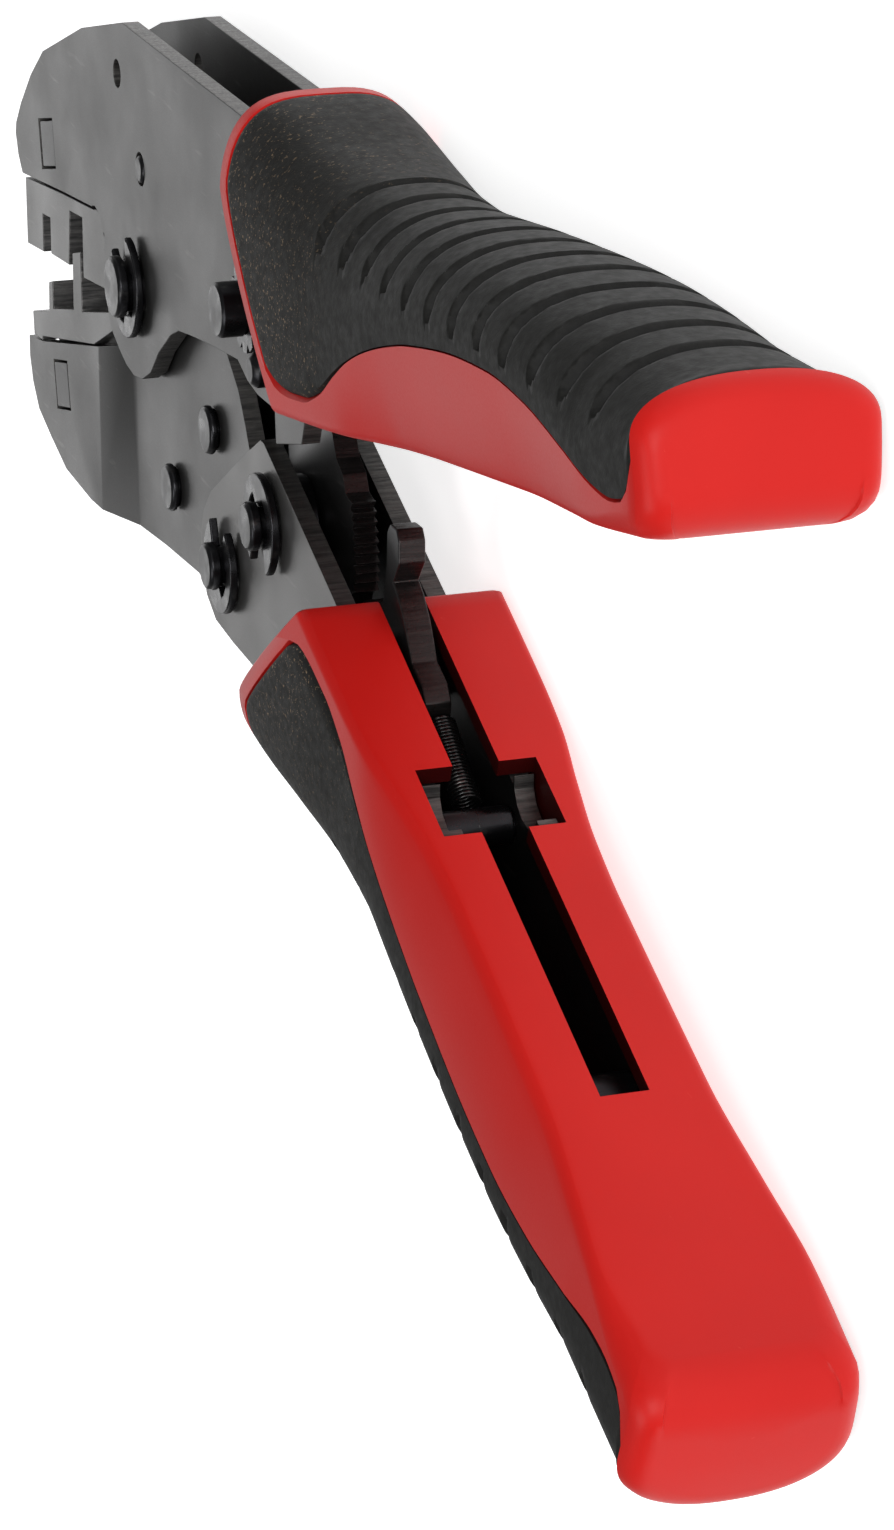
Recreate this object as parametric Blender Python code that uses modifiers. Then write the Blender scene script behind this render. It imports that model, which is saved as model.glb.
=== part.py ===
"""Ratchet crimping pliers for modular plugs, lying on their side and fully open.

Sizes are in millimetres and angles in degrees. metres() turns a size into Blender's unit.
The design frame has its origin on the main pivot, +X towards the grip ends, +Y towards the
upper handle and +Z towards the side with the retaining clips. The last step moves the whole
tool so that its box stands on Z = 0, centred on X = Y = 0.
"""

import math

import bmesh
import bpy
from mathutils import Vector

# Stack of layers across the tool, measured from its middle plane
PLATE = 2.0
PLATE_IN = 3.75
PLATE_OUT = PLATE_IN + PLATE
JAW_IN = 1.55
JAW_OUT = 3.45
LINK_HALF = 1.25
PAWL_HALF = 1.4
DIE_HALF = 5.5
TONGUE_HALF = 3.4
GAP = 0.3

# Pivots of the four-bar linkage with the jaws open
MAIN_PIVOT = (0.0, 0.0)
LINK_PIVOT = (50.0, 10.3)
HANDLE_PIVOT = (38.0, -21.3)
TOGGLE_PIVOT = (54.0, -12.0)

# Pins, clips and rivets
MAIN_PIN_R = 3.5
MAIN_CLIP_R = 5.9
SMALL_PIN_R = 2.6
SMALL_CLIP_R = 5.3
CLIP_T = 0.9
CLIP_Z = PLATE_OUT + GAP
PIN_END = CLIP_Z + CLIP_T + 1.4
HEAD_T = 1.2
HEAD_RIM = 1.8
JAW_RIVETS = {"jaw_rivet_rear": (25.2, -10.0), "jaw_rivet_front": (8.6, -21.4)}
JAW_RIVET_R = 2.7
FRAME_RIVET = (4.1, 14.3)
FRAME_RIVET_R = 1.6
SIGHT_HOLE = (-5.4, 23.1)
JOGGLE_X = -17.0
JOGGLE_WIDTH = 9.0

# Dies
DIE_BACK_R = 13.6
PUNCH_LOW = 1.5
UPPER_KEY = ((-39.7, 7.4), 6.4, 5.4, 13.0)
LOWER_KEY = ((-35.5, -21.3), 6.4, 5.4, 13.0)

# Force adjuster: a pin turned by a star wheel, whose middle journal is eccentric
ECCENTRIC_R = 2.5
ECCENTRIC_HEAD_R = 2.9
JOURNAL_R = 2.1
ECCENTRICITY = 0.35
LINK_BORE = JOURNAL_R + ECCENTRICITY + 0.1
WHEEL_R = 4.7
WHEEL_TEETH = 12
SCREW_CENTRE = (54.5, 4.9)
SCREW_HEAD_R = 1.9

# Ratchet
SECTOR_R = 16.5
TOOTH_DEPTH = 1.0
TOGGLE_PLAY = 0.9
TEETH = 10
TOOTH_PITCH = 3.6
FIRST_TOOTH = -11.5
PAWL_PIVOT = (80.5, -19.5)
PAWL_PIN_R = 1.75
PAWL_BORE = 2.1
PAWL_NOSE_GAP = 0.45
SPRING_HOOK = (91.6, -19.4)
SPRING_ANCHOR = (104.8, -27.9)
SPRING_R = 1.6
ANCHOR_R = 1.3

# Grips: both have the same moulding, in a frame of their own. s runs along the inner face
# towards the grip's end, and d is the depth below that face.
UPPER_GRIP = ((77.0, 6.3), 9.75, 1)
LOWER_GRIP = ((85.0, -13.4), -21.3, -1)
GRIP_FRONT = -4.3
GRIP_LEAN = 0.64
GRIP_END = 103.0
GRIP_DEPTH = ((-19, 33.0), (-12, 31.0), (0, 26.3), (12, 23.4), (25, 21.6), (40, 20.7), (60, 19.0),
              (80, 16.8), (95, 15.0), (104, 14.0))
GRIP_WIDTH = ((-19, 11.4), (0, 11.2), (15, 10.6), (40, 10.4), (70, 10.6), (104, 10.8))
OVERLAY_T = 1.6
OVERLAY_RIM = 2.0
OVERLAY_END = 2.0
SECTION = 24
STATIONS = (0.0, 0.06, 0.13, 0.21, 0.32, 0.44, 0.57, 0.7, 0.82, 0.93, 0.985, 0.995, 1.0)
SQUEEZE = (0.4, 0.0, 0.0, 0.0, 0.0, 0.0, 0.0, 0.0, 0.0, 0.0, 0.0, 0.3, 1.1)
WAVE = ((-3.2, 7.5), (-0.5, 4.0), (3, 2.6), (7, 2.2), (12, 3.0), (17.6, 5.5), (28, 8.8), (41, 10.5), (53, 11.0),
        (64, 10.5), (74, 8.8), (84, 5.8), (91, 3.4), (95, 2.7), (98, 3.1), (100.0, 5.0), (100.7, 8.5))
TANG_END = 76.0
TANG_START = -7.0
TANG_TOP = 2.2
TANG_BOTTOM = 14.0
SLOT_HALF = 2.55
SLOT_END = 67.0
WINDOW = (21.9, 31.1)
WINDOW_HALF = 6.1

# Facets of round parts
ROUND = 20

COLLECTION = "modular_plug_crimper"
STEEL = ((0.035, 0.036, 0.039), 0.38, 0.9)
STEEL_LIGHT = ((0.10, 0.10, 0.105), 0.35, 0.9)
RED = ((0.62, 0.02, 0.02), 0.4, 0.0)
BLACK = ((0.03, 0.03, 0.028), 0.8, 0.0)


def metres(value):
    return value * 0.001


def turned(point, angle, centre=(0.0, 0.0)):
    """The point after a turn about the centre, counter-clockwise seen from +Z."""
    c, s = math.cos(math.radians(angle)), math.sin(math.radians(angle))
    x, y = point[0] - centre[0], point[1] - centre[1]
    return (centre[0] + c * x - s * y, centre[1] + s * x + c * y)


def polar(centre, radius, angle):
    a = math.radians(angle)
    return (centre[0] + radius * math.cos(a), centre[1] + radius * math.sin(a))


def arc(centre, radius, start, end, steps):
    return [polar(centre, radius, start + (end - start) * i / steps) for i in range(steps + 1)]


def circle(centre, radius, steps=ROUND):
    return arc(centre, radius, 0, 360, steps)[:-1]


def direction(a, b):
    return math.degrees(math.atan2(b[1] - a[1], b[0] - a[0]))


def between(table, at):
    """Linear interpolation in a table of (place, value)."""
    if at <= table[0][0]:
        return table[0][1]
    for (x0, y0), (x1, y1) in zip(table, table[1:]):
        if at <= x1:
            share = (at - x0) / (x1 - x0)
            return y0 + (y1 - y0) * share
    return table[-1][1]


def grip_point(grip, s, d):
    """A point of a grip's own frame, in the design frame."""
    origin, angle, side = grip
    return turned((origin[0] + s, origin[1] + side * d), angle, origin)


# Blender helpers


def clear_scene():
    for obj in list(bpy.data.objects):
        bpy.data.objects.remove(obj, do_unlink=True)


def new_collection(name):
    collection = bpy.data.collections.new(name)
    bpy.context.scene.collection.children.link(collection)
    return collection


def material(name, look):
    colour, roughness, metallic = look
    made = bpy.data.materials.new(name)
    made.use_nodes = True
    shader = made.node_tree.nodes["Principled BSDF"]
    shader.inputs["Base Color"].default_value = (*colour, 1)
    shader.inputs["Roughness"].default_value = roughness
    shader.inputs["Metallic"].default_value = metallic
    made.diffuse_color = (*colour, 1)
    return made


def add_mesh(name, mesh, look, place=(0.0, 0.0, 0.0), smooth=False):
    """A part made of this mesh, whose points are measured from its place."""
    obj = bpy.data.objects.new(name, mesh)
    obj.location = Vector([metres(v) for v in place])
    mesh.materials.clear()
    mesh.materials.append(material(name + "_finish", look))
    if smooth:
        mesh.shade_smooth()
        mesh.set_sharp_from_angle(angle=math.radians(35))
    parts.objects.link(obj)
    return obj


def flat_mesh(name, outlines, low, high, origin=(0.0, 0.0)):
    """Closed outlines, holes among them, filled and extruded from low to high."""
    curve = bpy.data.curves.new(name, "CURVE")
    curve.dimensions = "2D"
    curve.fill_mode = "BOTH"
    curve.extrude = metres(high - low) / 2
    for outline in outlines:
        spline = curve.splines.new("POLY")
        spline.points.add(len(outline) - 1)
        spline.use_cyclic_u = True
        for point, (x, y) in zip(spline.points, outline):
            point.co = (metres(x - origin[0]), metres(y - origin[1]), 0, 1)
    guide = bpy.data.objects.new(name + "_outline", curve)
    bpy.context.scene.collection.objects.link(guide)
    bpy.context.view_layer.update()
    mesh = bpy.data.meshes.new_from_object(guide.evaluated_get(bpy.context.evaluated_depsgraph_get()))
    bpy.data.objects.remove(guide, do_unlink=True)
    work = bmesh.new()
    work.from_mesh(mesh)
    bmesh.ops.remove_doubles(work, verts=work.verts, dist=1e-7)
    bmesh.ops.translate(work, verts=work.verts, vec=(0, 0, metres(low + high) / 2))
    bmesh.ops.recalc_face_normals(work, faces=work.faces)
    work.to_mesh(mesh)
    work.free()
    return mesh


def flat_part(name, outlines, low, high, look=STEEL, origin=(0.0, 0.0)):
    """An extruded part, whose object stands on its own pivot."""
    return add_mesh(name, flat_mesh(name, outlines, low, high, origin), look, (*origin, 0.0))


def turned_part(name, centre, profile, look=STEEL, steps=ROUND):
    """A turned part: the profile is a list of (radius, z) from the top down its outer side."""
    mesh = bpy.data.meshes.new(name)
    points = [(metres(r), 0, metres(z)) for r, z in profile]
    mesh.from_pydata(points, [(i, i + 1) for i in range(len(points) - 1)], [])
    obj = add_mesh(name, mesh, look, (*centre, 0.0))
    screw = obj.modifiers.new("turn", "SCREW")
    screw.axis = "Z"
    screw.steps = steps
    screw.render_steps = steps
    screw.use_merge_vertices = True
    screw.merge_threshold = 1e-6
    screw.use_smooth_shade = False
    return obj


def tube_part(name, start, end, radius, look):
    """A straight round bar between two points."""
    curve = bpy.data.curves.new(name, "CURVE")
    curve.dimensions = "3D"
    curve.bevel_depth = metres(radius)
    curve.bevel_resolution = 2
    curve.use_fill_caps = True
    spline = curve.splines.new("POLY")
    spline.points.add(1)
    for point, place in zip(spline.points, (start, end)):
        point.co = (*[metres(v) for v in place], 1)
    obj = bpy.data.objects.new(name, curve)
    curve.materials.append(material(name + "_finish", look))
    parts.objects.link(obj)
    return obj


def cutter(name, mesh):
    obj = bpy.data.objects.new(name, mesh)
    obj.display_type = "WIRE"
    obj.hide_render = True
    cutters.objects.link(obj)
    return obj


def combine(obj, other, operation):
    boolean = obj.modifiers.new(operation.lower() + "_" + other.name, "BOOLEAN")
    boolean.operation = operation
    boolean.object = other
    boolean.solver = "EXACT"


# Pins, clips and rivets


def headed_pin(name, centre, radius, top=PIN_END):
    """A pin with a head under the far plate and a clip groove over the near one."""
    groove_low = CLIP_Z - 0.15
    groove_high = CLIP_Z + CLIP_T + 0.15
    head_top = -PLATE_OUT - GAP
    profile = [(0, top), (radius - 0.3, top), (radius, top - 0.3), (radius, groove_high),
               (radius - 0.6, groove_high), (radius - 0.6, groove_low), (radius, groove_low),
               (radius, head_top), (radius + HEAD_RIM, head_top), (radius + HEAD_RIM, head_top - HEAD_T + 0.3),
               (radius + HEAD_RIM - 0.3, head_top - HEAD_T), (0, head_top - HEAD_T)]
    return turned_part(name, centre, profile)


def clip_part(name, centre, outer, pin_radius, mouth):
    """An E-clip whose mouth opens towards the given angle."""
    inner = pin_radius - 0.25
    relief = pin_radius + 0.9
    points = arc(centre, outer, mouth + 32, mouth + 328, 20)
    points += arc(centre, inner, mouth + 312, mouth + 285, 2)
    points += arc(centre, relief, mouth + 275, mouth + 208, 4)
    points += arc(centre, inner, mouth + 198, mouth + 162, 3)
    points += arc(centre, relief, mouth + 152, mouth + 85, 4)
    points += arc(centre, inner, mouth + 75, mouth + 48, 2)
    return flat_part(name, [points], CLIP_Z, CLIP_Z + CLIP_T, STEEL, centre)


def rivet(name, centre, radius, reach, collar, collar_half):
    """A rivet through two plates, with a collar that keeps them apart."""
    profile = [(0, reach), (radius - 0.3, reach), (radius, reach - 0.3), (radius, collar_half),
               (collar, collar_half), (collar, -collar_half), (radius, -collar_half),
               (radius, -reach + 0.3), (radius - 0.3, -reach), (0, -reach)]
    return turned_part(name, centre, profile)


# Frame


def frame_outline():
    """The frame plate: head, die seat, pivot lobe, lower edge, stop tab and tang."""
    head = [(-2.8, 29.4), (-21.7, 25.0), (-40.8, 18.4), (-47.3, 14.2), (-52.9, 9.5), (-55.6, 6.6), (-56.0, 5.2),
            (-54.8, 2.6), (-52.9, 0.8)]
    seat = [(-33.6, 3.1), (-18.6, 4.7)] + arc((-17.0, 1.9), 3.2, 112, 22, 4)
    lobe = arc(MAIN_PIVOT, 13.2, 168, 216, 6) + [(-6.8, -9.4), (-4.0, -10.3), (-0.6, -10.7), (3.2, -10.1),
                                                 (6.9, -8.4), (10.6, -5.1), (15.9, -1.7), (19.3, -0.3)]
    under = [(24.4, 0.5), (32.4, 1.6), (43.0, 2.8), (46.7, 1.5), (50.6, 1.0), (56.8, 1.2)]
    stop = [(57.2, -2.4), (66.5, 0.2)]
    tang = [grip_point(UPPER_GRIP, s, d) for s, d in ((TANG_START, TANG_TOP), (TANG_END - 2, TANG_TOP), (TANG_END, 4.5),
                                                      (TANG_END, 12), (TANG_END - 2, TANG_BOTTOM), (22, TANG_BOTTOM))]
    return head + seat + lobe + under + stop + tang + [(64.0, 29.4)]


def make_frame():
    holes = [circle(MAIN_PIVOT, MAIN_PIN_R + GAP), circle(SIGHT_HOLE, 1.6, 16),
             circle(FRAME_RIVET, FRAME_RIVET_R + GAP, 16), circle(LINK_PIVOT, ECCENTRIC_R + GAP, 20),
             circle(grip_point(UPPER_GRIP, 62, 8), 2.3, 16), key_outline(UPPER_KEY, GAP)]
    near_only = [circle(SCREW_CENTRE, 1.0 + GAP, 12)]
    flat_part("frame_plate_near", [frame_outline()] + holes + near_only, PLATE_IN, PLATE_OUT, STEEL_LIGHT)
    flat_part("frame_plate_far", [frame_outline()] + holes, -PLATE_OUT, -PLATE_IN, STEEL_LIGHT)
    rivet("frame_rivet", FRAME_RIVET, FRAME_RIVET_R, PLATE_OUT + 0.25, 3.0, PLATE_IN - GAP)
    rivet("frame_tang_rivet", grip_point(UPPER_GRIP, 62, 8), 2.0, PLATE_OUT, 4.0, PLATE_IN - GAP)
    headed_pin("pivot_pin", MAIN_PIVOT, MAIN_PIN_R)
    clip_part("pivot_clip", MAIN_PIVOT, MAIN_CLIP_R, MAIN_PIN_R, 115)


# Dies

def key_outline(key, extra=0.0):
    """The section of a key, grown by extra on each side."""
    centre, width, height, angle = key
    half_w, half_h = width / 2 + extra, height / 2 + extra
    corners = ((-half_w, -half_h), (half_w, -half_h), (half_w, half_h), (-half_w, half_h))
    return [turned((centre[0] + x, centre[1] + y), angle, centre) for x, y in corners]


def offset_seat():
    """The upper die's top edge, a gap below the plate's seat."""
    return [(-52.4, 0.4), (-33.5, 2.7), (-18.6, 4.3)] + arc((-17.0, 1.9), 2.8, 112, 22, 4)


def die_block(name, body, tongue, key, origin=(0.0, 0.0)):
    """A die: a full-width body, with a tongue that goes between the plates and takes a key."""
    obj = flat_part(name, [body], -DIE_HALF, DIE_HALF, STEEL_LIGHT, origin)
    mesh = flat_mesh(name + "_tongue", [tongue, key_outline(key, GAP)], -TONGUE_HALF, TONGUE_HALF, origin)
    joined = cutter(name + "_tongue", mesh)
    joined.location = obj.location
    combine(obj, joined, "UNION")
    return obj


def make_upper_die():
    """The upper die. Its two punches are on the near side, and plugs go in from the far side."""
    top = offset_seat()
    back = arc(MAIN_PIVOT, DIE_BACK_R, 172, 196.5, 3)
    low = [(-24.2, -5.2), (-24.2, 2.0), (-30.2, 1.4), (-31.2, -5.4), (-40.1, -6.2), (-40.1, -1.8), (-43.9, -2.2),
           (-43.9, -6.9), (-52.2, -7.8)]
    tongue = [(-51.0, 0.0), (-52.5, 5.5), (-46.5, 12.0), (-34.0, 14.5), (-22.0, 13.0), (-20.0, 3.4), (-24.2, 2.3),
              (-30.2, 1.7), (-36.0, 0.2), (-46.0, -1.2)]
    die = die_block("upper_die", top + back + low, tongue, UPPER_KEY)
    room = [(-43.9, -9.0), (-10.0, -9.0), (-10.0, 2.4), (-43.9, -0.5)]
    combine(die, cutter("plug_room", flat_mesh("plug_room", [room], -DIE_HALF - 1, PUNCH_LOW)), "DIFFERENCE")
    flat_part("upper_die_key", [key_outline(UPPER_KEY)], -PLATE_OUT + 0.1, PLATE_OUT - 0.1, STEEL)


def make_lower_die():
    """The lower die: two posts, which run in the upper die's slots, part the nests for the plugs."""
    front = [(-50.4, -15.9), (-41.9, -13.8), (-41.7, -10.1), (-39.7, -9.5), (-39.7, -12.9)]
    nests = [(-29.5, -10.4), (-29.4, -3.5), (-25.5, -2.4), (-25.3, -9.6)]
    back = arc(MAIN_PIVOT, DIE_BACK_R, 207.5, 217, 2)
    foot = [(-20.0, -12.2), (-45.5, -17.9), (-45.6, -18.4), (-50.0, -18.8)]
    tongue = [(-46.0, -17.0), (-45.5, -22.0), (-41.0, -26.5), (-28.5, -26.0), (-24.5, -20.5), (-23.5, -12.0),
              (-34.0, -14.5)]
    die_block("lower_die", front + nests + back + foot, tongue, LOWER_KEY, MAIN_PIVOT)
    flat_part("lower_die_key", [key_outline(LOWER_KEY)], -PLATE_OUT + 0.1, PLATE_OUT - 0.1, STEEL, MAIN_PIVOT)


# Jaw


def jaw_outline():
    """The jaw plate: front land under the die, lower edge, tail with the handle pivot, and pivot eye."""
    front = [(-45.2, -18.4), (-52.0, -19.4), (-52.0, -22.0), (-50.7, -24.9), (-47.9, -27.7), (-41.9, -29.6),
             (-34.6, -31.6), (-22.4, -31.9), (-8.3, -31.0), (3.8, -29.8), (17.6, -28.8), (28.0, -29.6)]
    tail = arc(HANDLE_PIVOT, 8.6, -125, 45, 9)
    top = [(39.6, -9.0), (37.2, -5.6), (35.0, -2.9), (30.5, 0.1), (24.0, 2.6), (14.0, 5.6)]
    eye = arc(MAIN_PIVOT, 8.2, 62, 205, 8)
    return front + tail + top + eye + [(-9.4, -9.6), (-17.6, -11.8)]


def joggle(mesh, start, width, step):
    """Shifts the plate across its thickness by step, in a slope that begins at X = start."""
    work = bmesh.new()
    work.from_mesh(mesh)
    for x in (start, start + width):
        geometry = work.verts[:] + work.edges[:] + work.faces[:]
        bmesh.ops.bisect_plane(work, geom=geometry, plane_co=(metres(x), 0, 0), plane_no=(1, 0, 0), dist=1e-7)
    for vert in work.verts:
        share = (vert.co.x - metres(start)) / metres(width)
        vert.co.z += metres(step) * min(1.0, max(0.0, share))
    bmesh.ops.triangulate(work, faces=work.faces)
    work.to_mesh(mesh)
    work.free()


def make_jaw():
    holes = [circle(MAIN_PIVOT, MAIN_PIN_R + GAP), circle(HANDLE_PIVOT, SMALL_PIN_R + GAP, 20),
             key_outline(LOWER_KEY, GAP)]
    holes += [circle(place, JAW_RIVET_R - 0.7 + GAP, 16) for place in JAW_RIVETS.values()]
    for side, name in ((1, "jaw_plate_near"), (-1, "jaw_plate_far")):
        mesh = flat_mesh(name, [jaw_outline()] + holes, *sorted((side * PLATE_IN, side * (PLATE_IN + 1.9))))
        joggle(mesh, JOGGLE_X, JOGGLE_WIDTH, side * (JAW_IN - PLATE_IN))
        add_mesh(name, mesh, STEEL_LIGHT)
    for name, place in JAW_RIVETS.items():
        shank = JAW_RIVET_R - 0.7
        reach = JAW_OUT + GAP + 0.9
        face = JAW_OUT + GAP
        profile = [(0, reach), (JAW_RIVET_R - 0.3, reach), (JAW_RIVET_R, reach - 0.3), (JAW_RIVET_R, face),
                   (shank, face), (shank, JAW_IN - GAP), (JAW_RIVET_R, JAW_IN - GAP)]
        mirrored = [(r, -z) for r, z in reversed(profile)]
        turned_part(name, place, profile + mirrored, STEEL)
    turned_part("jaw_bush", MAIN_PIVOT, [(MAIN_PIN_R + GAP, JAW_IN - GAP), (5.6, JAW_IN - GAP),
                                         (5.6, GAP - JAW_IN), (MAIN_PIN_R + GAP, GAP - JAW_IN),
                                         (MAIN_PIN_R + GAP, JAW_IN - GAP)])
    headed_pin("handle_pin", HANDLE_PIVOT, SMALL_PIN_R)
    clip_part("handle_pin_clip", HANDLE_PIVOT, SMALL_CLIP_R, SMALL_PIN_R, 90)


# Toggle link and its ratchet


def sector_teeth():
    """The toothed edge of the link, from its first tooth to its last."""
    points = []
    for i in range(TEETH):
        at = FIRST_TOOTH + i * TOOTH_PITCH
        points.append(polar(TOGGLE_PIVOT, SECTOR_R - TOOTH_DEPTH, at))
        points.append(polar(TOGGLE_PIVOT, SECTOR_R, at + TOOTH_PITCH / 2))
    points.append(polar(TOGGLE_PIVOT, SECTOR_R - TOOTH_DEPTH, FIRST_TOOTH + TEETH * TOOTH_PITCH))
    return points


def make_link():
    sector_end = FIRST_TOOTH + TEETH * TOOTH_PITCH
    outline = arc(LINK_PIVOT, 6.0, 0, 180, 10)
    outline += arc(TOGGLE_PIVOT, 7.2, 165, 290, 8)
    outline += [polar(TOGGLE_PIVOT, 10.5, -48), polar(TOGGLE_PIVOT, 13.0, -32), polar(TOGGLE_PIVOT, 14.4, -24),
                polar(TOGGLE_PIVOT, 14.6, -15)]
    outline += sector_teeth()
    outline += [polar(TOGGLE_PIVOT, 14.6, sector_end + 3), polar(TOGGLE_PIVOT, 14.6, sector_end + 11),
                polar(TOGGLE_PIVOT, 13.6, sector_end + 20)]
    holes = [circle(LINK_PIVOT, LINK_BORE, 20), circle(TOGGLE_PIVOT, SMALL_PIN_R + TOGGLE_PLAY, 20)]
    flat_part("toggle_link", [outline] + holes, -LINK_HALF, LINK_HALF, STEEL, LINK_PIVOT)


# Force adjuster


def make_adjuster():
    top = PLATE_OUT + 4.3
    head_low = PLATE_OUT + 1.6
    groove = CLIP_Z - 0.1
    waist = JOURNAL_R - ECCENTRICITY - 0.1
    profile = [(0, top), (ECCENTRIC_HEAD_R - 0.3, top), (ECCENTRIC_HEAD_R, top - 0.3), (ECCENTRIC_HEAD_R, head_low),
               (ECCENTRIC_R, head_low), (ECCENTRIC_R, LINK_HALF + GAP), (waist, LINK_HALF + GAP),
               (waist, -LINK_HALF - GAP), (ECCENTRIC_R, -LINK_HALF - GAP), (ECCENTRIC_R, -groove),
               (ECCENTRIC_R - 0.6, -groove), (ECCENTRIC_R - 0.6, -CLIP_Z - CLIP_T - 0.1),
               (ECCENTRIC_R, -CLIP_Z - CLIP_T - 0.1), (ECCENTRIC_R, -PIN_END + 0.3), (ECCENTRIC_R - 0.3, -PIN_END),
               (0, -PIN_END)]
    pin = turned_part("eccentric_pin", LINK_PIVOT, profile)
    journal = circle((ECCENTRICITY, 0.0), JOURNAL_R, 16)
    joined = cutter("eccentric_journal", flat_mesh("eccentric_journal", [journal], -LINK_HALF - 0.6, LINK_HALF + 0.6))
    joined.location = pin.location
    combine(pin, joined, "UNION")
    step = 360 / WHEEL_TEETH
    teeth = []
    for i in range(WHEEL_TEETH):
        teeth += arc(LINK_PIVOT, WHEEL_R, i * step, i * step + step * 0.5, 2)
        teeth.append(polar(LINK_PIVOT, WHEEL_R - 0.9, i * step + step * 0.75))
    flat_part("star_wheel", [teeth, circle(LINK_PIVOT, ECCENTRIC_R + GAP, 20)], PLATE_OUT + GAP, PLATE_OUT + 1.3,
              STEEL, LINK_PIVOT)
    far = clip_part("eccentric_clip", LINK_PIVOT, 4.4, ECCENTRIC_R, 60)
    far.location.z = -metres(2 * CLIP_Z + CLIP_T)
    turned_part("lock_screw", SCREW_CENTRE,
                [(0, PLATE_OUT + 2.0), (SCREW_HEAD_R - 0.6, PLATE_OUT + 2.0), (SCREW_HEAD_R, PLATE_OUT + 1.4),
                 (SCREW_HEAD_R, PLATE_OUT + GAP), (1.0, PLATE_OUT + GAP), (1.0, PLATE_IN - 1.2), (0, PLATE_IN - 1.2)],
                STEEL_LIGHT)


# Handle


def handle_outline():
    """The handle plate: nose above the link, pivot end, and tang with the window scallop."""
    nose = [(52.6, -3.6), (51.4, -3.6), (46.8, -6.1), (39.7, -10.2), (31.6, -15.0)]
    pivot_end = [(28.6, -18.0), (27.2, -21.0), (27.6, -24.6), (29.4, -27.4), (33.0, -29.2), (40.0, -29.6),
                 (48.5, -29.7)]
    lip = WINDOW[1] - 0.7
    bottom = [(57.0, -31.0)] + [grip_point(LOWER_GRIP, s, d) for s, d in (
        (-9, 23.0), (22, TANG_BOTTOM), (TANG_END - 2, TANG_BOTTOM), (TANG_END, 12), (TANG_END, 4.5),
        (TANG_END - 2, TANG_TOP), (lip, TANG_TOP), (lip, 0.9), (lip - 1.0, 0.9))]
    window = [grip_point(LOWER_GRIP, lip - 4.4 + 3.4 * math.cos(a), 1.2 + 2.6 * math.sin(a))
              for a in [math.pi * i / 6 for i in range(7)]]
    top = [grip_point(LOWER_GRIP, s, d) for s, d in ((WINDOW[0] + 0.6, 1.2), (WINDOW[0] + 0.6, TANG_TOP),
                                                     (TANG_START, TANG_TOP))]
    return nose + pivot_end + bottom + window + top


def make_handle():
    holes = [circle(HANDLE_PIVOT, SMALL_PIN_R + GAP, 20), circle(TOGGLE_PIVOT, SMALL_PIN_R + GAP, 20),
             circle(PAWL_PIVOT, PAWL_PIN_R + GAP, 16), circle(SPRING_ANCHOR, ANCHOR_R + GAP, 12),
             circle(grip_point(LOWER_GRIP, 62, 8), 2.3, 16)]
    flat_part("handle_plate_near", [handle_outline()] + holes, PLATE_IN, PLATE_OUT, STEEL_LIGHT, HANDLE_PIVOT)
    flat_part("handle_plate_far", [handle_outline()] + holes, -PLATE_OUT, -PLATE_IN, STEEL_LIGHT, HANDLE_PIVOT)
    headed_pin("link_pin", TOGGLE_PIVOT, SMALL_PIN_R)
    clip_part("link_pin_clip", TOGGLE_PIVOT, SMALL_CLIP_R + 0.2, SMALL_PIN_R, 270)
    for side, name in ((1, "link_washer_near"), (-1, "link_washer_far")):
        low, high = sorted((side * (LINK_HALF + GAP), side * (PLATE_IN - GAP)))
        flat_part(name, [circle(TOGGLE_PIVOT, 5.0, 20), circle(TOGGLE_PIVOT, SMALL_PIN_R + GAP, 20)], low, high,
                  STEEL, TOGGLE_PIVOT)
    turned_part("pawl_pin", PAWL_PIVOT, [(0, PLATE_OUT), (PAWL_PIN_R - 0.3, PLATE_OUT), (PAWL_PIN_R, PLATE_OUT - 0.3),
                                         (PAWL_PIN_R, -PLATE_OUT + 0.3), (PAWL_PIN_R - 0.3, -PLATE_OUT),
                                         (0, -PLATE_OUT)])
    for side, name in ((1, "pawl_washer_near"), (-1, "pawl_washer_far")):
        low, high = sorted((side * (PAWL_HALF + GAP), side * (PLATE_IN - GAP)))
        flat_part(name, [circle(PAWL_PIVOT, 3.3, 16), circle(PAWL_PIVOT, PAWL_PIN_R + GAP, 16)], low, high,
                  STEEL, PAWL_PIVOT)
    rivet("handle_tang_rivet", grip_point(LOWER_GRIP, 62, 8), 2.0, PLATE_OUT, 4.0, PLATE_IN - GAP)
    rivet("spring_anchor_pin", SPRING_ANCHOR, ANCHOR_R, PLATE_OUT, 1.9, PLATE_IN - GAP)


# Pawl


def make_pawl():
    tip = polar(TOGGLE_PIVOT, SECTOR_R + PAWL_NOSE_GAP, direction(TOGGLE_PIVOT, PAWL_PIVOT))
    outline = [tip, (73.4, -14.6), (76.6, -14.2), (79.8, -12.6), (81.0, -8.4), (81.2, -5.0), (82.2, -3.9),
               (84.4, -3.8), (85.2, -4.9), (85.2, -7.2), (83.2, -9.6), (84.8, -10.6), (86.9, -12.8), (89.2, -16.2),
               (92.2, -17.3), (93.6, -18.9), (93.3, -20.8), (91.2, -21.8), (88.0, -22.0), (85.4, -24.0),
               (81.0, -25.0), (77.0, -23.6), (74.4, -20.6), (72.6, -18.6)]
    holes = [circle(PAWL_PIVOT, PAWL_BORE, 16), circle(SPRING_HOOK, 0.8, 10)]
    flat_part("ratchet_pawl", [outline] + holes, -PAWL_HALF, PAWL_HALF, STEEL, PAWL_PIVOT)


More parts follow.
